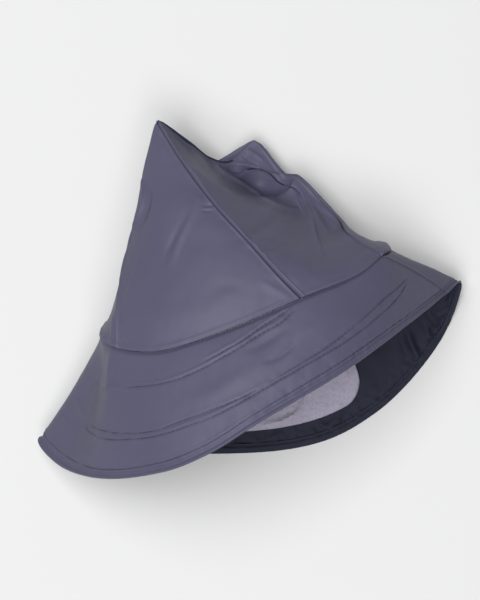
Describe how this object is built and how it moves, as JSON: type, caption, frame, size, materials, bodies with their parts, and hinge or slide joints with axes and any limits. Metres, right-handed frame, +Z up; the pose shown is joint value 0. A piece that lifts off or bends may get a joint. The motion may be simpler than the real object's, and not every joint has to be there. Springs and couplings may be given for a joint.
{
  "type": "sou'wester hat",
  "caption": "Child's sou'wester rain hat of coated cloth with a two-peaked crown, a stitched front brim, a long neck flap and a fleece lining, lying on its back",
  "frame": {"origin": "on the floor under the middle of the hat's extent", "axes": "+Z up from the floor it lies on, +Y from the brim towards the crown's peaks, +X towards the wearer's left side"},
  "size_m": [0.307, 0.2426, 0.1409],
  "materials": {
    "coated_cloth": "satin coated cloth",
    "fleece": "matte napped fleece"
  },
  "bodies": {
    "root": {"crown_front_panel": "coated_cloth", "crown_left_panel": "coated_cloth", "crown_right_panel": "coated_cloth", "crown_back_panel": "coated_cloth", "front_brim": "coated_cloth", "neck_flap": "coated_cloth", "front_hem": "coated_cloth", "neck_hem": "coated_cloth", "crown_lining": "fleece", "neck_fleece": "fleece"}
  },
  "joints": []
}
